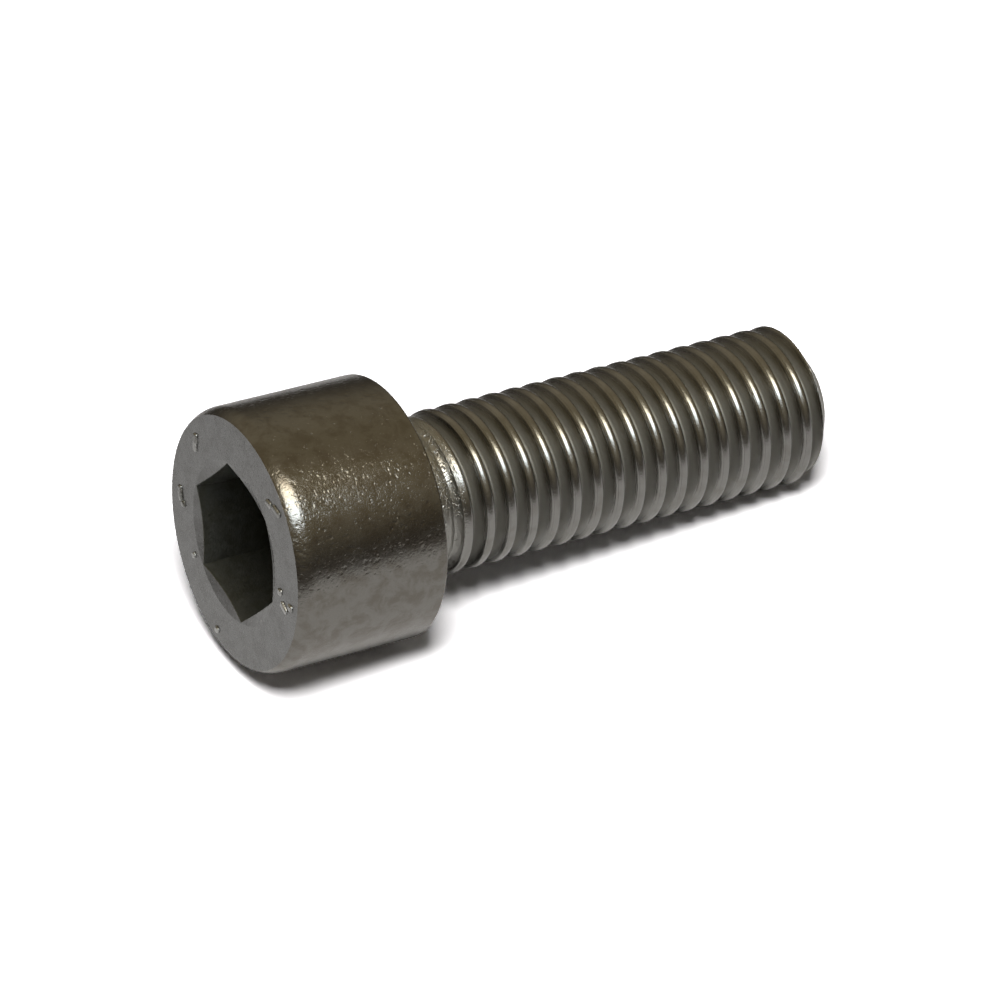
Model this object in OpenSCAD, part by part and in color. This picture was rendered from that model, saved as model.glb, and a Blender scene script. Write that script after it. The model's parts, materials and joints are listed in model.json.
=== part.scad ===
// Hex socket cap screw, M10 x 30, threaded up to a short neck below its head.
// One cold-formed piece: an upset head with a forged hexagon socket, and a
// shank whose thread is rolled. It lies at rest on the rear rim of its head
// and on a crest of its thread near the point. X runs from the head to the
// point, Z is up, and the origin is the middle of its footprint.

/* [Head] */
// Diameter of the head
head_d = 16; // [15.8:0.1:18]
// Height of the head, from the bearing face to the top face
head_h = 9.8; // [9:0.1:12]
// Diameter of the flat top face, inside the rounded edge
face_d = 15.32; // [14.8:0.02:15.6]
// Height of the rounded edge between the top face and the side
edge_h = 1; // [0.6:0.1:2]
// Bevel at the rear rim of the head, around the bearing face
rim_bevel = 0.3; // [0.1:0.05:0.6]

/* [Socket] */
// Width of the hexagon across its flats, for an 8 mm key
socket_af = 8.15; // [7.6:0.05:8.4]
// Depth of the hexagon's flats below the top face
socket_depth = 5.2; // [4:0.1:6]
// Diameter of the countersink at the mouth, where it meets the top face
mouth_d = 9.96; // [9.8:0.02:10.6]
// Full angle of the countersink and of the socket's pointed floor
socket_cone = 120; // [110:1:140]
// Turn of the hexagon about the screw's axis, as the screw lies
socket_turn = -18; // [-30:1:30]

/* [Shank] */
// Length from the bearing face to the point
shank_l = 29.6; // [18:0.1:60]
// Diameter of the plain neck below the head
neck_d = 9.1; // [8.9:0.05:9.4]
// Length of the neck
neck_l = 2; // [1.8:0.1:4]
// Radius of the fillet between the neck and the bearing face
neck_fillet = 0.45; // [0.2:0.05:0.6]
// Diameter of the flat point
point_d = 6.4; // [6:0.1:7.4]
// Angle between the chamfer of the point and the screw's axis
point_angle = 53; // [45:1:58]

/* [Thread] */
// Outer diameter of the thread, over its crests
thread_d = 9.86; // [9.6:0.02:10]
// Pitch of the right-hand thread
pitch = 1.5; // [1.2:0.05:1.6]
// Depth that the rounding takes off each corner of the crest
crest_ease = 0.09; // [0.05:0.01:0.12]
// Length over which the thread rises out of the neck
runout_l = 1.6; // [1:0.1:3]
// Distance from the point to the last whole crest on the underside
last_crest = 1.9; // [1.6:0.05:2.6]

/* [Hidden] */

head_r = head_d / 2;
face_r = face_d / 2;
neck_r = neck_d / 2;
point_r = point_d / 2;
thread_r = thread_d / 2;

// The rounded edge is an arc tangent to the side of the head.
edge_in = head_r - face_r;
edge_r = (edge_h * edge_h + edge_in * edge_in) / (2 * edge_in);

// Socket
socket_r = socket_af / 2 / cos(30);
cone_slope = tan(socket_cone / 2);
mouth_h = mouth_d / 2 / cone_slope;
floor_h = socket_af / 2 / cone_slope;

// Thread: flanks at 30 degrees to the radius, crest and root cut flat.
flank_slope = tan(30);
thread_h = 0.6134 * pitch;
root_r = thread_r - thread_h;
crest_half = pitch / 16;
turn_n = 36; // facets in one turn
half_facet = 180 / turn_n;
head_n = 3 * turn_n; // facets round the head, in step with those of the thread
half_side = 180 / head_n;
// Points across one pitch, as [place along the axis from the crest, radius]
rib = [
    [-flank_at(root_r), root_r],
    [-flank_at(thread_r - crest_ease), thread_r - crest_ease],
    [-crest_half + crest_ease / 2, thread_r],
    [crest_half - crest_ease / 2, thread_r],
    [flank_at(thread_r - crest_ease), thread_r - crest_ease],
    [flank_at(root_r), root_r]
];
rib_n = len(rib);
skin = 0.04; // step from the neck down to the ground of the thread
point_slope = tan(point_angle);
point_l = (root_r - point_r) / point_slope; // bare cone between the thread's root and the point
crest_s = shank_l - last_crest;
root_s = -1; // where the threaded core starts, inside the head
turns = floor((crest_s - root_s - pitch / 2) / pitch);
first_s = crest_s - turns * pitch;
line_n = rib_n * turns + ceil(rib_n * (last_crest - point_l + pitch) / pitch);
ring_a = line_n * turn_n; // first vertex of the ring inside the head
ring_b = ring_a + turn_n; // first vertex of the ring at the point

// Rest: the head's rear rim and the underside of the last whole crest touch
// the ground, each with the middle of a facet.
touch_s = crest_s + crest_half - crest_ease / 2;
flat_r = head_r * cos(half_side);
tilt = atan((flat_r - thread_r * cos(half_facet)) / (touch_s + rim_bevel));
lift = flat_r * cos(tilt) - rim_bevel * sin(tilt);
left_x = -head_h * cos(tilt) - face_r * sin(tilt);
right_x = shank_l * cos(tilt) + point_r * sin(tilt);

// Distance from the crest's middle to the flank, at a radius
function flank_at(r) = crest_half + (thread_r - r) * flank_slope;

// Places past the start of the bare cone are drawn together before the point.
function held(s) = s < shank_l - point_l ? s
    : shank_l - point_l * point_l / (s - shank_l + 2 * point_l);

// Share of the thread's full form at a place along the axis
function rise(s) = max(0, min(1, (s - neck_l) / runout_l));

// Radius of the threaded surface: it rises out of the neck, and the point's
// cone cuts it off.
function surface_r(s, r) =
    min(neck_r - skin + (r - neck_r + skin) * rise(s), point_r + (shank_l - s) * point_slope);

function on_axis(r, a, s) = [r * cos(a), r * sin(a), s];

// Angle of corner j of a turn. A facet, not a corner, is lowest as it lies.
function corner_a(j) = 360 * j / turn_n - half_facet;

// A vertex on line i of the helix, at corner j of its turn
function thread_point(i, j) =
    let (s = held(first_s + pitch * (floor(i / rib_n) + corner_a(j) / 360)
                  + rib[i % rib_n][0]))
    on_axis(surface_r(s, rib[i % rib_n][1]), corner_a(j), s);

function ring(r, s) = [for (j = [0:turn_n - 1]) on_axis(r, corner_a(j), s)];

// Vertex number of line i at corner j, which runs on into the next turn
function at(i, j) = j < turn_n ? i * turn_n + j : at(i + rib_n, j - turn_n);

// Neck and head as one outline, from the axis out, with the axis along Y
module body_outline() {
    difference() {
        union() {
            translate([0, -head_h])
                square([face_r, head_h]);
            translate([0, edge_h - head_h])
                square([head_r, head_h - edge_h - rim_bevel]);
            intersection() {
                translate([head_r - edge_r, edge_h - head_h])
                    circle(r = edge_r, $fn = 128);
                translate([0, -head_h])
                    square([head_r, edge_h]);
            }
            polygon([[0, 0], [head_r - rim_bevel, 0], [head_r, -rim_bevel], [0, -rim_bevel]]);
            square([neck_r, neck_l]);
            square([neck_r + neck_fillet, neck_fillet]);
        }
        translate([neck_r + neck_fillet, neck_fillet])
            circle(r = neck_fillet, $fn = 48);
    }
}

// Forged hexagon with a pointed floor and a countersunk mouth
module socket() {
    rotate([0, 0, socket_turn])
        translate([0, 0, -head_h - 1])
            cylinder(r = socket_r, h = socket_depth + 1, $fn = 6);
    translate([0, 0, socket_depth - head_h])
        cylinder(r1 = socket_af / 2, r2 = 0, h = floor_h, $fn = 96);
    translate([0, 0, -head_h])
        cylinder(r1 = mouth_d / 2, r2 = 0, h = mouth_h, $fn = 96);
}

// Rolled thread with its core, as one closed helical skin
module threaded_core() {
    points = concat(
        [for (i = [0:line_n - 1]) for (j = [0:turn_n - 1]) thread_point(i, j)],
        ring(neck_r - skin, root_s),
        ring(point_r, shank_l)
    );
    flanks = [
        for (i = [0:line_n - 2]) for (j = [0:turn_n - 1])
            if (j < turn_n - 1 || i < line_n - 1 - rib_n)
                each [
                    [at(i, j), at(i + 1, j), at(i + 1, j + 1)],
                    [at(i, j), at(i + 1, j + 1), at(i, j + 1)]
                ]
    ];
    start_band = [
        for (j = [0:turn_n - 2]) each [
            [ring_a + j, at(0, j), at(0, j + 1)],
            [ring_a + j, at(0, j + 1), ring_a + j + 1]
        ]
    ];
    end_band = [
        for (j = [0:turn_n - 2]) each [
            [at(line_n - 1, j), ring_b + j, ring_b + j + 1],
            [at(line_n - 1, j), ring_b + j + 1, at(line_n - 1, j + 1)]
        ]
    ];
    // Where a turn ends and the next begins, one step of a whole pitch is left
    // open at each end of the helix.
    start_step = concat(
        [[ring_a + turn_n - 1, at(0, turn_n - 1), ring_a], [ring_a, at(0, turn_n - 1), at(0, 0)]],
        [for (i = [0:rib_n - 1]) [at(i, 0), at(0, turn_n - 1), at(i + 1, 0)]]
    );
    end_step = concat(
        [for (i = [line_n - 1 - rib_n:line_n - 2])
            [at(i, turn_n - 1), at(i + 1, turn_n - 1), at(line_n - 1, 0)]],
        [[at(line_n - 1, turn_n - 1), ring_b + turn_n - 1, ring_b],
         [at(line_n - 1, turn_n - 1), ring_b, at(line_n - 1, 0)]]
    );
    caps = [
        [for (j = [0:turn_n - 1]) ring_a + j],
        [for (j = [0:turn_n - 1]) ring_b + turn_n - 1 - j]
    ];
    polyhedron(
        points,
        concat(flanks, start_band, end_band, start_step, end_step, caps),
        convexity = 12
    );
}

module cap_screw() {
    color([0.5, 0.49, 0.46])
        translate([-(left_x + right_x) / 2, 0, lift])
            rotate([0, 90 + tilt, 0])
                difference() {
                    union() {
                        rotate([0, 0, half_side])
                            rotate_extrude($fn = head_n)
                                body_outline();
                        threaded_core();
                    }
                    socket();
                }
}

cap_screw();
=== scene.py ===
import json
from math import atan2, cos, pi, radians, sin, tan

import bmesh
import bpy
from mathutils import Matrix, Vector


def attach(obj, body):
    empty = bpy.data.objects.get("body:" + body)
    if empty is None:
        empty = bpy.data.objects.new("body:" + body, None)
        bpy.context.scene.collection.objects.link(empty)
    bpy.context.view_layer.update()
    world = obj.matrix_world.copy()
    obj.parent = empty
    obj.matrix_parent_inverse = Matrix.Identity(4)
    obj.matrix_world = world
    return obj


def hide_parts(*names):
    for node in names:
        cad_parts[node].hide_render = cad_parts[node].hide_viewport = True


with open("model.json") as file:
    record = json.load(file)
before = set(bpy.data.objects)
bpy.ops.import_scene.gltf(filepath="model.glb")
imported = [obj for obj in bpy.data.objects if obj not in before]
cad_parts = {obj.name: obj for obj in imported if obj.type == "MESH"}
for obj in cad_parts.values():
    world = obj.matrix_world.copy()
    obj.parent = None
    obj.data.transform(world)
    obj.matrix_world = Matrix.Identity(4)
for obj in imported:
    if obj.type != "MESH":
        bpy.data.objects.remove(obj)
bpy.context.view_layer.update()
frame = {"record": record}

# ---------------------------------------------------------------------------
# Head
# The head is upset cold from the end of a stainless steel wire. Its top edge
# keeps the soft radius of the die, its rear rim is rounded off by tumbling, and
# its satin skin has small pits where scale was pressed in.
# ---------------------------------------------------------------------------
MM = 0.001
HEAD_R = 8.0 * MM
HEAD_H = 9.8 * MM
FACE_R = 7.66 * MM  # flat top face, inside the soft edge
EDGE_H = 1.0 * MM
EDGE_STEPS = 10
RIM_ROUND = 0.16 * MM
MOUTH_R = 4.98 * MM  # where the countersink meets the top face
NECK_R = 4.55 * MM
FILLET_R = 0.45 * MM  # between the bearing face and the neck
MID_FACE_R = 6.3 * MM  # a ring of points halfway across each flat face
SIDE_RINGS = (-8.4 * MM, -5.0 * MM)  # rings of points on the side
AROUND = 192  # facets in a full turn of the head
QUARTER = [radians(15 * step) for step in range(7)]  # a small rounding, step by step
MERGE = 0.001 * MM
FORGED = {"clean": (0.2, 0.2, 0.197), "stained": (0.17, 0.169, 0.165)}
STAIN_AT = (0.4, 0.66)  # of the broad noise: clean up to the first, stained from the second
SATIN_AT = (0.3, 0.7)  # of the fine noise
SATIN_SPREAD = (0.85, 1.2)  # roughness there, as a share of the finish's own
PITTED = (1.5, -3.5)  # mm across the axis: no pits below the first, all of them above the second

# Finishes of the faces, in the order of their materials. New faces are bare.
BARE, FACE, SIDE, SINK, SOCKET, NECK, THREAD, MARK = range(8)

# The screw is made upright, with its bearing face at z = 0 and its point up.
screw = bmesh.new()
mesh = bpy.data.meshes.new("steel_screw")

# Where the finished screw lies: the middle of its bearing face, and the slope
# of its axis down towards the point.
bearing = next(mount for mount in frame["record"]["mounts"] if mount["name"] == "bearing_face")
SEAT = Vector((bearing["pos_m"][0], 0, bearing["pos_m"][2]))
TILT = atan2(-bearing["axis"][2], bearing["axis"][0])


def faces_of(finish):
    return [face for face in screw.faces if face.material_index == finish]


def each_once(items):
    return list(dict.fromkeys(items))


def with_edges_and_verts(faces):
    edges = each_once(edge for face in faces for edge in face.edges)
    return [*faces, *edges, *each_once(vert for edge in edges for vert in edge.verts)]


def turned(outline, finish):
    """Spin an outline of (radius, height) points about the screw's axis."""
    points = [screw.verts.new((r, 0, z)) for r, z in outline]
    lines = [screw.edges.new(pair) for pair in zip(points, points[1:])]
    bmesh.ops.spin(
        screw, geom=points + lines, cent=(0, 0, 0), axis=(0, 0, 1),
        angle=2 * pi, steps=AROUND, use_merge=True,
    )
    for face in faces_of(BARE):
        face.material_index = finish


def rounded_edge():
    """The soft edge between the top face and the side, an arc tangent to the side."""
    inset = HEAD_R - FACE_R
    radius = (EDGE_H ** 2 + inset ** 2) / (2 * inset)
    reach = atan2(EDGE_H, radius - inset)
    for step in range(EDGE_STEPS + 1):
        angle = reach * (1 - step / EDGE_STEPS)
        yield HEAD_R - radius * (1 - cos(angle)), EDGE_H - HEAD_H - radius * sin(angle)


def rounded_rim():
    """The small rounding from the side into the bearing face."""
    for angle in QUARTER:
        yield HEAD_R - RIM_ROUND * (1 - cos(angle)), -RIM_ROUND * (1 - sin(angle))


side_rings = [(HEAD_R, z) for z in SIDE_RINGS]
turned([(MOUTH_R, -HEAD_H), (MID_FACE_R, -HEAD_H), (FACE_R, -HEAD_H)], FACE)
turned([*rounded_edge(), *side_rings, *rounded_rim(), (MID_FACE_R, 0), (NECK_R + FILLET_R, 0)], SIDE)


def node(tree, kind, inputs=None, **settings):
    """Add a shader node, set its options, and set or link its inputs."""
    made = tree.nodes.new("ShaderNode" + kind)
    for name, value in settings.items():
        setattr(made, name, value)
    for name, value in (inputs or {}).items():
        if isinstance(value, bpy.types.NodeSocket):
            tree.links.new(value, made.inputs[name])
        else:
            made.inputs[name].default_value = value
    return made


def group(name, ins, outs):
    """A shader node group with named value sockets."""
    tree = bpy.data.node_groups.new(name, "ShaderNodeTree")
    for socket, value in ins.items():
        made = tree.interface.new_socket(name=socket, in_out="INPUT", socket_type="NodeSocketFloat")
        made.default_value = value
    for socket in outs:
        tree.interface.new_socket(name=socket, in_out="OUTPUT", socket_type="NodeSocketFloat")
    return tree, tree.nodes.new("NodeGroupInput").outputs, tree.nodes.new("NodeGroupOutput").inputs


def on_axis(tree):
    """Object coordinates in millimetres, with Z along the screw and 0 at the bearing face."""
    return node(tree, "Mapping", {
        "Vector": node(tree, "TexCoord").outputs["Object"],
        "Location": SEAT, "Rotation": (0, pi / 2 + TILT, 0), "Scale": (MM, MM, MM),
    }, vector_type="TEXTURE").outputs["Vector"]


def times(tree, a, b):
    return node(tree, "Math", {0: a, 1: b}, operation="MULTIPLY").outputs[0]


def ranged(tree, value, low, high, to_low=0.0, to_high=1.0):
    """Carry a value smoothly from one range to another."""
    return node(tree, "MapRange", {
        "Value": value, "From Min": low, "From Max": high, "To Min": to_low, "To Max": to_high,
    }, interpolation_type="SMOOTHSTEP").outputs["Result"]


def mixed(tree, share, a, b):
    """Blend two colours."""
    return node(tree, "Mix", {"Factor": share, "A": a, "B": b}, data_type="RGBA").outputs["Result"]


grain, given, out = group("satin_grain", {"Scale": 6.0}, ["Height", "Blotch"])
place = on_axis(grain)
fine = node(grain, "TexNoise", {
    "Vector": place, "Scale": given["Scale"], "Detail": 3.0, "Roughness": 0.6,
})
broad = node(grain, "TexNoise", {
    "Vector": place, "Scale": 0.9, "Detail": 4.0, "Roughness": 0.65, "Distortion": 0.4,
})
grain.links.new(fine.outputs[0], out["Height"])
grain.links.new(broad.outputs[0], out["Blotch"])

# Bowls of uneven width and outline, scattered over the skin.
pits, given, out = group("pits", {"Scale": 2.0, "Share": 0.4, "Radius": 0.3}, ["Height", "Upper"])
place = on_axis(pits)
bent = node(pits, "TexNoise", {"Vector": place, "Scale": 5.0, "Detail": 1.0}).outputs["Color"]
sway = node(pits, "VectorMath", {0: bent, "Scale": 0.25}, operation="SCALE").outputs[0]
shaken = node(pits, "VectorMath", {0: place, 1: sway}, operation="ADD").outputs[0]
cell = node(pits, "TexVoronoi", {"Vector": shaken, "Scale": given["Scale"], "Randomness": 1.0})
pick = node(pits, "SeparateColor", {"Color": cell.outputs["Color"]}).outputs
chosen = node(pits, "Math", {0: pick[0], 1: given["Share"]}, operation="LESS_THAN").outputs[0]
width = times(pits, given["Radius"], ranged(pits, pick[1], 0.0, 1.0, 0.5, 1.2))
bowl = ranged(pits, cell.outputs["Distance"], 0.0, width, -1.0, 0.0)
upward = node(pits, "SeparateXYZ", {"Vector": place}).outputs[0]
pits.links.new(times(pits, bowl, chosen), out["Height"])
pits.links.new(ranged(pits, upward, *PITTED), out["Upper"])


def steel(name, clean, stained, roughness):
    """Give the mesh its next finish: metal with blotches from clean to stained."""
    material = bpy.data.materials.new(name)
    material.use_nodes = True
    tree = material.node_tree
    surface = tree.nodes["Principled BSDF"].inputs
    surface["Metallic"].default_value = 1
    skin = node(tree, "Group", node_tree=grain).outputs
    blotches = ranged(tree, skin["Blotch"], *STAIN_AT)
    satin = ranged(tree, skin["Height"], *SATIN_AT, *(roughness * share for share in SATIN_SPREAD))
    tree.links.new(mixed(tree, blotches, (*clean, 1), (*stained, 1)), surface["Base Color"])
    tree.links.new(satin, surface["Roughness"])
    mesh.materials.append(material)
    return tree, surface, skin["Height"]


def bump(tree, height, depth, under=None):
    """Relief of a height from 0 to 1 that stands for `depth` millimetres, over other relief."""
    inputs = {"Height": height, "Distance": depth * MM, "Strength": 1.0}
    if under:
        inputs["Normal"] = under
    return node(tree, "Bump", inputs).outputs["Normal"]


tree, surface, skin = steel("forged_face", **FORGED, roughness=0.26)
dents = node(tree, "Group", {"Scale": 1.1, "Share": 0.25, "Radius": 0.16}, node_tree=pits).outputs
relief = bump(tree, skin, depth=0.008)
relief = bump(tree, dents["Height"], depth=0.015, under=relief)
tree.links.new(relief, surface["Normal"])

tree, surface, skin = steel(
    "head_side", clean=(0.21, 0.202, 0.185), stained=(0.165, 0.152, 0.132), roughness=0.22)
small = node(tree, "Group", {"Scale": 4.2, "Share": 0.6, "Radius": 0.5}, node_tree=pits).outputs
large = node(tree, "Group", {"Scale": 2.4, "Share": 0.65, "Radius": 0.5}, node_tree=pits).outputs
relief = bump(tree, skin, depth=0.012)
relief = bump(tree, times(tree, small["Height"], small["Upper"]), depth=0.008, under=relief)
relief = bump(tree, times(tree, large["Height"], large["Upper"]), depth=0.013, under=relief)
tree.links.new(relief, surface["Normal"])

# ---------------------------------------------------------------------------
# Socket
# The hexagon for the key is forged into the head by a punch, which leaves a
# floor with a shallow point and dull walls. It widens a little towards its
# mouth, which is countersunk.
# ---------------------------------------------------------------------------
MOUTH_FLAT = 4.28 * MM  # from the axis to a flat, at the mouth
SOCKET_FLAT = 4.075 * MM  # and below the flare
FLARE_H = 1.6 * MM
SOCKET_DEPTH = 5.2 * MM
FLOOR_R = 3.95 * MM
FLOOR_SLOPE = tan(radians(30))
SINK_R = 3.9 * MM  # how far in the countersink is turned before the hexagon cuts it
SINK_SLOPE = tan(radians(17))
SOCKET_TURN = radians(-18)
LIP = 0.03 * MM
CUT_NEAR = 1e-9  # points nearer than this to a cut are on it

turned([(MOUTH_R, -HEAD_H), (SINK_R, -HEAD_H + (MOUTH_R - SINK_R) * SINK_SLOPE)], SINK)
bmesh.ops.remove_doubles(screw, verts=screw.verts, dist=MERGE)
flats = [
    Matrix.Rotation(SOCKET_TURN + radians(30 + 60 * side), 3, "Z") @ Vector((1, 0, 0))
    for side in range(6)
]
for flat in flats:
    bmesh.ops.bisect_plane(
        screw, geom=with_edges_and_verts(faces_of(SINK)), dist=CUT_NEAR,
        plane_co=flat * MOUTH_FLAT, plane_no=flat,
    )
within = [
    face for face in faces_of(SINK)
    if all(face.calc_center_median().dot(flat) < MOUTH_FLAT for flat in flats)
]
bmesh.ops.delete(screw, geom=within, context="FACES")
mouth = [edge for face in faces_of(SINK) for edge in face.edges if edge.is_boundary]


def carried_on(edges, finish, move):
    """Extrude a loop of edges, move each new vertex, and return the new loop."""
    grown = bmesh.ops.extrude_edge_only(screw, edges=edges)["geom"]
    for item in grown:
        if isinstance(item, bmesh.types.BMVert):
            item.co = move(item.co.copy())
        elif isinstance(item, bmesh.types.BMFace):
            item.material_index = finish
    return [item for item in grown if isinstance(item, bmesh.types.BMEdge) and item.is_boundary]


def drawn_in(place, share, z):
    """A place at a share of its distance from the axis, at a height."""
    return Vector((place.x * share, place.y * share, z))


def closed(edges, finish, tip):
    """Draw a loop together into one vertex."""
    last = carried_on(edges, finish, lambda place: tip)
    verts = each_once(vert for edge in last for vert in edge.verts)
    bmesh.ops.pointmerge(screw, verts=verts, merge_co=tip)


floor_z = SOCKET_DEPTH - HEAD_H
lip_share = 1 - LIP / MOUTH_FLAT
flare_share = SOCKET_FLAT / (MOUTH_FLAT - LIP)
lip = carried_on(mouth, SOCKET, lambda place: drawn_in(place, lip_share, place.z + LIP))
flare = carried_on(lip, SOCKET, lambda place: drawn_in(place, flare_share, FLARE_H - HEAD_H))
wall = carried_on(flare, SOCKET, lambda place: drawn_in(place, 1, floor_z))
rim = carried_on(wall, SOCKET, lambda place: drawn_in(place, FLOOR_R / place.xy.length, floor_z))
closed(rim, SOCKET, Vector((0, 0, floor_z + FLOOR_R * FLOOR_SLOPE)))

tree, surface, skin = steel("countersink", **FORGED, roughness=0.3)
tree.links.new(bump(tree, skin, depth=0.008), surface["Normal"])

tree, surface, skin = steel(
    "socket_steel", clean=(0.14, 0.145, 0.135), stained=(0.115, 0.118, 0.1), roughness=0.5)
tree.links.new(bump(tree, skin, depth=0.012), surface["Normal"])

# ---------------------------------------------------------------------------
# Neck
# A fillet leads from the bearing face into a short plain neck. It keeps the
# rings of the turning tool, and a rough band where the thread rollers stopped.
# ---------------------------------------------------------------------------
NECK_L = 2.0 * MM
RINGS = 4
FIRST_RING = 0.58 * MM
RING_STEP = 0.19 * MM
RING_HALF = 0.22 * RING_STEP
RING_DEPTH = 0.03 * MM
SKIN = 0.04 * MM  # the thread starts a little below the neck
ROUGH_BAND = (1.15, 1.5)  # mm from the bearing face, from smooth to rough
CRUST = {"Scale": 8.5, "Share": 0.85, "Radius": 0.6}
CRUST_DEPTH = 0.035  # mm

neck = [(NECK_R + FILLET_R * (1 - sin(angle)), FILLET_R * (1 - cos(angle))) for angle in QUARTER]
for ring in range(RINGS):
    z = FIRST_RING + RING_STEP * ring
    neck += [(NECK_R, z - RING_HALF), (NECK_R - RING_DEPTH, z), (NECK_R, z + RING_HALF)]
turned([*neck, (NECK_R - SKIN, NECK_L - SKIN)], NECK)

# Fine lines round the axis, on the neck's side and across its shoulders.
rings, given, out = group("round_lines", {"Along": 14.0, "Round": 1.2}, ["Height", "Radius", "Station"])
place = node(rings, "SeparateXYZ", {"Vector": on_axis(rings)}).outputs
angle = node(rings, "Math", {0: place[1], 1: place[0]}, operation="ARCTAN2").outputs[0]
wave = node(rings, "Math", {0: angle}, operation="SINE").outputs[0]
flat = node(rings, "CombineXYZ", {0: place[0], 1: place[1]}).outputs[0]
radius = node(rings, "VectorMath", {0: flat}, operation="LENGTH").outputs["Value"]
strip = node(rings, "CombineXYZ", {
    0: times(rings, place[2], given["Along"]),
    1: times(rings, radius, given["Along"]),
    2: times(rings, wave, given["Round"]),
}).outputs[0]
line = node(rings, "TexNoise", {"Vector": strip, "Scale": 1.0, "Detail": 2.0}).outputs[0]
rings.links.new(line, out["Height"])
rings.links.new(radius, out["Radius"])
rings.links.new(place[2], out["Station"])

tree, surface, skin = steel(
    "rough_neck", clean=(0.33, 0.323, 0.3), stained=(0.26, 0.253, 0.232), roughness=0.3)
lines = node(tree, "Group", {"Along": 7.0, "Round": 1.0}, node_tree=rings).outputs
crust = node(tree, "Group", CRUST, node_tree=pits).outputs
rough = ranged(tree, lines["Station"], *ROUGH_BAND)
relief = bump(tree, lines["Height"], depth=0.03)
relief = bump(tree, times(tree, crust["Height"], rough), CRUST_DEPTH, under=relief)
tree.links.new(relief, surface["Normal"])

# ---------------------------------------------------------------------------
# Thread
# The thread is rolled between dies, which press the roots in and squeeze the
# metal up on both sides into a rounded crest with a faint seam. It rises out of
# the neck, and the cone of the point cuts it off.
# ---------------------------------------------------------------------------
PITCH = 1.5 * MM
RIB = [  # one pitch in mm, as (along the axis, radius)
    (-0.75, 4.08), (-0.70, 4.11), (-0.66, 4.17), (-0.345, 4.72), (-0.32, 4.77),  # root and flank
    (-0.29, 4.825), (-0.262, 4.866), (-0.23, 4.886), (-0.20, 4.885),  # thin lip beside the seam
    (-0.17, 4.868), (-0.145, 4.868),  # seam
    (-0.11, 4.887), (-0.05, 4.912), (0.01, 4.925), (0.07, 4.93), (0.13, 4.926),  # crest
    (0.185, 4.911), (0.235, 4.884), (0.28, 4.844), (0.318, 4.79),
    (0.35, 4.735), (0.375, 4.69), (0.665, 4.18), (0.70, 4.12), (0.75, 4.08),  # flank and root
]
RUNOUT_L = 1.6 * MM
SHANK_L = 29.6 * MM
LAST_CREST = 27.7 * MM  # whole crest on the side that the screw lies on
TURNS = 20
TURNS_CUT = 2  # turns past the last whole crest, which the point cuts off
THREAD_STEPS = 96  # facets in a turn of the thread
POINT_R = 3.2 * MM
POINT_SLOPE = tan(radians(53))
POINT_EDGE = 0.12 * MM
FINE_L = 2.0 * MM  # length before the point that is split finer
CREST_ROUGHNESS = 0.25
GROOVE = (4.75, 4.25)  # mm from the axis, from the bright crest to the dull root
# lighter than the crest: painted light that lifts the shade in the roots
GROOVE_PAINTED_LIGHT = (0.29, 0.284, 0.262, 1)
GROOVE_ROUGHNESS = 0.58
TORN = (3.4, 2.6)  # mm from the bearing face, from the clean thread to its torn start
TORN_COLOUR = (0.31, 0.303, 0.282, 1)
TORN_ROUGHNESS = 0.3

first_crest = LAST_CREST + PITCH * TURNS_CUT - PITCH * TURNS
points = [screw.verts.new((r * MM, 0, first_crest + z * MM)) for z, r in RIB]
lines = [screw.edges.new(pair) for pair in zip(points, points[1:])]
bmesh.ops.spin(
    screw, geom=points + lines, cent=(0, 0, 0), axis=(0, 0, 1), angle=2 * pi,
    steps=THREAD_STEPS, dvec=(0, 0, PITCH / THREAD_STEPS),
)
for face in faces_of(BARE):
    face.material_index = THREAD
one_turn = with_edges_and_verts(faces_of(THREAD))
for turn in range(1, TURNS):
    copied = bmesh.ops.duplicate(screw, geom=one_turn)["geom"]
    copied = [item for item in copied if isinstance(item, bmesh.types.BMVert)]
    bmesh.ops.translate(screw, vec=(0, 0, PITCH * turn), verts=copied)
bmesh.ops.remove_doubles(screw, verts=screw.verts, dist=MERGE)
for height, outward in ((NECK_L, -1), (SHANK_L, 1)):
    bmesh.ops.bisect_plane(
        screw, geom=with_edges_and_verts(faces_of(THREAD)), dist=CUT_NEAR,
        plane_co=(0, 0, height), plane_no=(0, 0, outward), clear_outer=True,
    )
near_point = [
    edge for edge in each_once(edge for face in faces_of(THREAD) for edge in face.edges)
    if min(vert.co.z for vert in edge.verts) > SHANK_L - FINE_L
]
bmesh.ops.subdivide_edges(screw, edges=near_point, cuts=1, use_grid_fill=True)
for vert in each_once(vert for face in faces_of(THREAD) for vert in face.verts):
    radius = vert.co.xy.length
    risen = min(1, max(0, (vert.co.z - NECK_L) / RUNOUT_L))
    wanted = NECK_R - SKIN + (radius - NECK_R + SKIN) * risen
    vert.co.xy *= min(wanted, POINT_R + (SHANK_L - vert.co.z) * POINT_SLOPE) / radius

loose = [edge for edge in screw.edges if edge.is_boundary]
at_neck = [edge for edge in loose if edge.verts[0].co.z < SHANK_L / 2]
at_point = [edge for edge in loose if edge.verts[0].co.z > SHANK_L / 2]
bmesh.ops.bridge_loops(screw, edges=at_neck)
for face in faces_of(BARE):
    face.material_index = NECK
point_share = 1 - POINT_EDGE / POINT_R
rim = carried_on(at_point, THREAD, lambda place: drawn_in(place, point_share, SHANK_L))
closed(rim, THREAD, Vector((0, 0, SHANK_L)))

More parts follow.
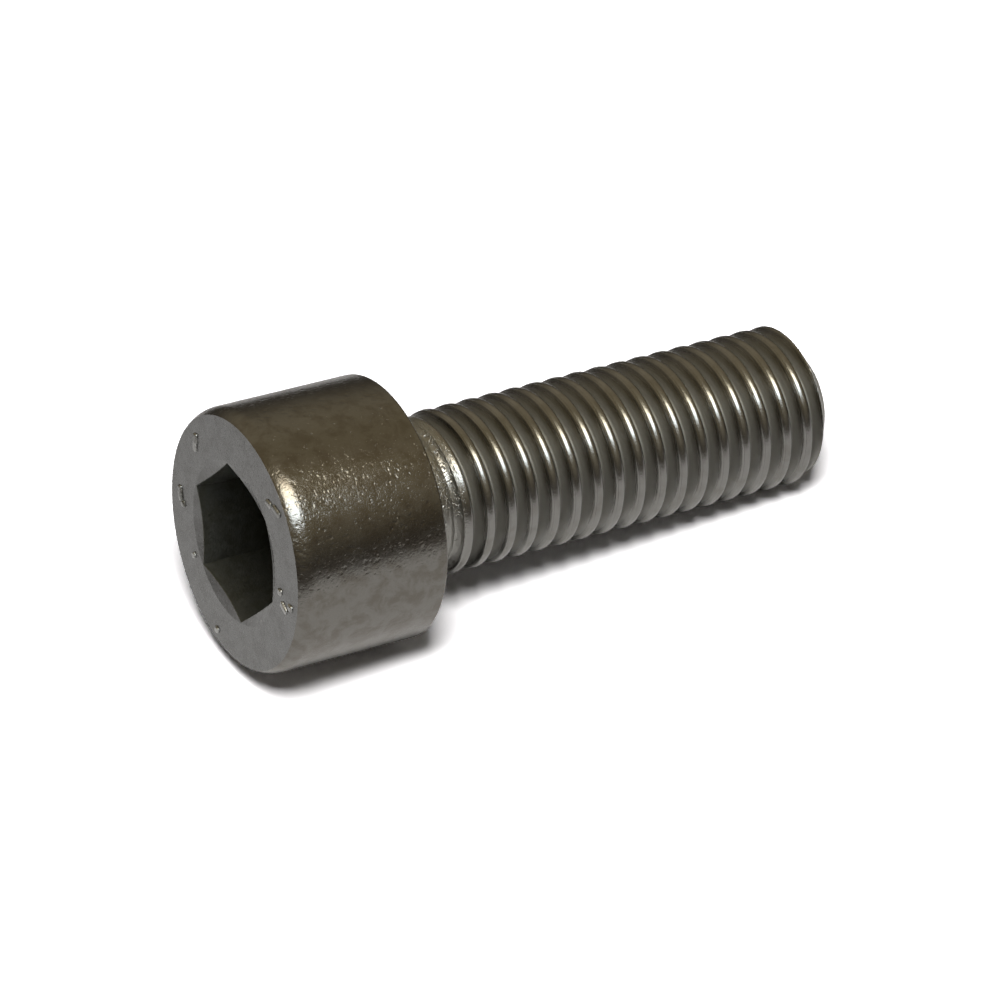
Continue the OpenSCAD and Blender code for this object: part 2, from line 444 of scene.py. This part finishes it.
tree, surface, skin = steel(
    "rolled_thread", clean=(0.265, 0.26, 0.246), stained=(0.225, 0.218, 0.2), roughness=CREST_ROUGHNESS)
lines = node(tree, "Group", {"Along": 10.0, "Round": 1.5}, node_tree=rings).outputs
crust = node(tree, "Group", CRUST, node_tree=pits).outputs
groove = ranged(tree, lines["Radius"], *GROOVE)
torn = ranged(tree, lines["Station"], *TORN)
blotched = surface["Base Color"].links[0].from_socket
# the roots get a lighter colour, painted light against their shade
colour = mixed(tree, groove, blotched, GROOVE_PAINTED_LIGHT)
colour = mixed(tree, torn, colour, TORN_COLOUR)
dull = node(tree, "MapRange", {
    "Value": groove, "To Min": CREST_ROUGHNESS, "To Max": GROOVE_ROUGHNESS,
}).outputs["Result"]
dull = node(tree, "MapRange", {
    "Value": torn, "To Min": dull, "To Max": TORN_ROUGHNESS,
}).outputs["Result"]
relief = bump(tree, lines["Height"], depth=0.01)
relief = bump(tree, times(tree, crust["Height"], torn), CRUST_DEPTH, under=relief)
relief = bump(tree, skin, depth=0.006, under=relief)
tree.links.new(colour, surface["Base Color"])
tree.links.new(dull, surface["Roughness"])
tree.links.new(relief, surface["Normal"])

# ---------------------------------------------------------------------------
# Marks
# Standard screws carry raised marks on the top face, struck by the forging die.
# Their light colour is a painted glint. These are plain bars and dots that say nothing.
# ---------------------------------------------------------------------------
MARK_H = 0.12 * MM
MARK_ROUND = 0.115 * MM
MARKS = [  # (degrees round the face, mm from the axis, turn in degrees, length and width in mm)
    (126, 6.5, 50, 1.2, 0.4), (85, 6.55, 80, 1.0, 0.42), (80, 6.2, 80, 0.42, 0.42),
    (50, 5.75, 0, 0.4, 0.4), (9, 7.0, 0, 0.42, 0.42), (268, 5.6, 0, 0.42, 0.42),
    (275, 6.2, 20, 0.8, 0.4), (271, 6.85, 0, 0.5, 0.42), (215, 6.15, 60, 0.6, 0.4),
    (221, 6.75, 60, 0.9, 0.4),
]
for degrees, away, turn, length, width in MARKS:
    spot = Matrix.Rotation(radians(degrees), 4, "Z") @ Matrix.Translation((away * MM, 0, -HEAD_H))
    shape = Matrix.Diagonal((length * MM, width * MM, 2 * MARK_H, 1))
    block = bmesh.ops.create_cube(
        screw, size=1, matrix=spot @ Matrix.Rotation(radians(turn), 4, "Z") @ shape)["verts"]
    bmesh.ops.bevel(
        screw, geom=each_once(edge for vert in block for edge in vert.link_edges),
        offset=MARK_ROUND, offset_type="OFFSET", segments=4, profile=0.5, affect="EDGES", material=-1,
    )
    for face in faces_of(BARE):
        face.material_index = MARK

# The marks' light colour is a painted glint, brighter than the face's steel.
tree, surface, skin = steel(
    "mark_painted_glint", clean=(0.46, 0.46, 0.45), stained=(0.25, 0.25, 0.24), roughness=0.3)
tree.links.new(bump(tree, skin, depth=0.06), surface["Normal"])

# ---------------------------------------------------------------------------
# The screw laid down
# It is one piece of steel. It lies on the rear rim of its head and on the last
# whole crest of its thread, so its axis slopes down towards the point.
# ---------------------------------------------------------------------------
SHARP = radians(26)  # edges that turn by more than this stay crisp

bmesh.ops.remove_doubles(screw, verts=screw.verts, dist=MERGE)
bmesh.ops.triangulate(screw, faces=[face for face in screw.faces if len(face.verts) > 4])
bmesh.ops.recalc_face_normals(screw, faces=screw.faces)
bmesh.ops.transform(
    screw, matrix=Matrix.Translation(SEAT) @ Matrix.Rotation(pi / 2 + TILT, 4, "Y"), verts=screw.verts,
)
for edge in screw.edges:
    finishes = {face.material_index for face in edge.link_faces}
    edge.smooth = edge.calc_face_angle(pi) < SHARP and not (SINK in finishes and len(finishes) > 1)
for face in screw.faces:
    face.smooth = True
    face.material_index -= 1  # no face is bare any more
screw.to_mesh(mesh)
screw.free()


def placed(name, data):
    """Put a mesh, a lamp or a camera into the scene."""
    item = bpy.data.objects.new(name, data)
    bpy.context.scene.collection.objects.link(item)
    return item


steel_screw = placed("steel_screw", mesh)
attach(steel_screw, "root")
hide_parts("cap_screw")

# ---------------------------------------------------------------------------
# Floor
# A pale sheet of paper under the screw, white all round the screw's shadow.
# In the metal it ends a hand's breadth away, where the dark ground starts.
# ---------------------------------------------------------------------------
FLOOR_HALF = 3.0
SHEET_R = 0.06
SHEET_FADE = 0.02
PAPER = (0.72, 0.72, 0.72, 1)
DARK_GROUND = (0.1, 0.09, 0.08, 1)
LIT_PAPER = (1.6, 1.6, 1.65, 1)  # as the camera sees it, under plain light
WHITE = (1, 1, 1, 1)


def staged(name, shape, finish):
    """An object of the stage, and the empty tree of its material."""
    data = bpy.data.meshes.new(name)
    shape.to_mesh(data)
    shape.free()
    material = bpy.data.materials.new(finish)
    material.use_nodes = True
    material.node_tree.nodes.clear()
    data.materials.append(material)
    return placed(name, data), material.node_tree


ground = bmesh.new()
bmesh.ops.create_grid(ground, x_segments=1, y_segments=1, size=FLOOR_HALF)
floor, tree = staged("floor", ground, "paper")
place = node(tree, "TexCoord").outputs["Object"]
far = node(tree, "VectorMath", {0: place}, operation="LENGTH").outputs["Value"]
camera_ray = node(tree, "LightPath").outputs["Is Camera Ray"]
sheet_end = ranged(tree, far, SHEET_R - SHEET_FADE, SHEET_R + SHEET_FADE)
sheet = mixed(tree, sheet_end, PAPER, DARK_GROUND)
pale = node(tree, "BsdfDiffuse", {"Color": mixed(tree, camera_ray, sheet, LIT_PAPER)})
backdrop = node(tree, "Emission", {"Color": WHITE, "Strength": 1.0})
beyond = times(tree, camera_ray, ranged(tree, far, SHEET_R, SHEET_R + 2 * SHEET_FADE))
shown = node(tree, "MixShader", {0: beyond, 1: pale.outputs[0], 2: backdrop.outputs[0]})
node(tree, "OutputMaterial", {"Surface": shown.outputs[0]})

# ---------------------------------------------------------------------------
# Light
# A tall soft window on the camera's side, warmer at its top, and a dark room
# that is seen only in the metal.
# ---------------------------------------------------------------------------
AIM = Vector((0, 0, 0.006))
LAMP_AWAY = 0.5
WINDOW_COLOURS = {67: (1, 0.92, 0.76), 53: (0.8, 0.9, 1)}  # by height in degrees
ROOM_R = 0.8
FLOOR_GAP = 0.001
CEILING_NEAR = (0.345, 0.284, 0.173, 1)  # on the camera's side
CEILING_FAR = (0.44, 0.38, 0.27, 1)
CEILING_DEPTH = (0.1, 0.6)  # metres away from the camera, from the one to the other
WALL_FOOT = (0.1, 0.09, 0.075, 1)
WALL_HEIGHT = (0.0, 0.55)  # metres up, from the foot's colour to the ceiling's
WORLD_FILL = 0.02


def lamp(name, round_angle, height_angle, size, watts, colour):
    """An area lamp aimed at the screw, at an angle round it and a height, both in degrees."""
    light = bpy.data.lights.new(name, "AREA")
    light.shape = "RECTANGLE"
    light.size, light.size_y = size
    light.energy = watts
    light.color = colour
    a, e = radians(round_angle), radians(height_angle)
    way = Vector((cos(a) * cos(e), sin(a) * cos(e), sin(e)))
    pane = placed(name, light)
    pane.location = AIM + way * LAMP_AWAY
    pane.rotation_euler = way.to_track_quat("Z", "Y").to_euler()
    return pane


for height_angle, colour in WINDOW_COLOURS.items():
    window = lamp(
        f"window_{height_angle}", round_angle=-97, height_angle=height_angle,
        size=(0.4, 0.13), watts=1.2, colour=colour,
    )
    window.visible_diffuse = False
softbox = lamp(
    "softbox", round_angle=-123, height_angle=59.5,
    size=(0.15, 0.15), watts=2.9, colour=(1, 0.98, 0.96),
)
softbox.visible_glossy = False

dome = bmesh.new()
bmesh.ops.create_uvsphere(dome, u_segments=48, v_segments=24, radius=ROOM_R)
bmesh.ops.bisect_plane(
    dome, geom=[*dome.verts, *dome.edges, *dome.faces],
    plane_co=(0, 0, FLOOR_GAP), plane_no=(0, 0, -1), clear_outer=True,
)
dark_room, tree = staged("dark_room", dome, "dark_walls")
for ray in ("camera", "diffuse", "transmission", "volume_scatter", "shadow"):
    setattr(dark_room, "visible_" + ray, False)
place = node(tree, "SeparateXYZ", {"Vector": node(tree, "TexCoord").outputs["Object"]}).outputs
ceiling = mixed(tree, ranged(tree, place[1], *CEILING_DEPTH), CEILING_NEAR, CEILING_FAR)
shade = mixed(tree, ranged(tree, place[2], *WALL_HEIGHT), WALL_FOOT, ceiling)
glow = node(tree, "Emission", {"Color": shade, "Strength": 1.0})
node(tree, "OutputMaterial", {"Surface": glow.outputs[0]})

# The world is white to the eye, in glass and in metal, and hardly lights the screw.
world = bpy.data.worlds.new("studio")
bpy.context.scene.world = world
world.use_nodes = True
tree = world.node_tree
path = node(tree, "LightPath").outputs
seen = path["Is Camera Ray"]
for ray in ("Is Glossy Ray", "Is Transmission Ray"):
    seen = node(tree, "Math", {0: seen, 1: path[ray]}, operation="ADD").outputs[0]
level = node(tree, "MapRange", {"Value": seen, "To Min": WORLD_FILL, "To Max": 1.0})
tree.links.new(level.outputs["Result"], tree.nodes["Background"].inputs["Strength"])
tree.nodes["Background"].inputs["Color"].default_value = WHITE

# ---------------------------------------------------------------------------
# Camera
# A long lens looks down on the screw from the head's side. The picture keeps
# plain Standard colours.
# ---------------------------------------------------------------------------
CAMERA_PLACE = Vector((-128.850, -215.882, 197.282)) * MM
CAMERA_WAY = Vector((0.40365, 0.68344, -0.60826))

lens = bpy.data.cameras.new("camera")
lens.lens = 189.5
lens.sensor_width = 36
lens.clip_start, lens.clip_end = 0.01, 10
camera = placed("camera", lens)
camera.location = CAMERA_PLACE
camera.rotation_mode = "QUATERNION"
camera.rotation_quaternion = CAMERA_WAY.to_track_quat("-Z", "Y")
bpy.context.scene.camera = camera
bpy.context.scene.view_settings.view_transform = "Standard"
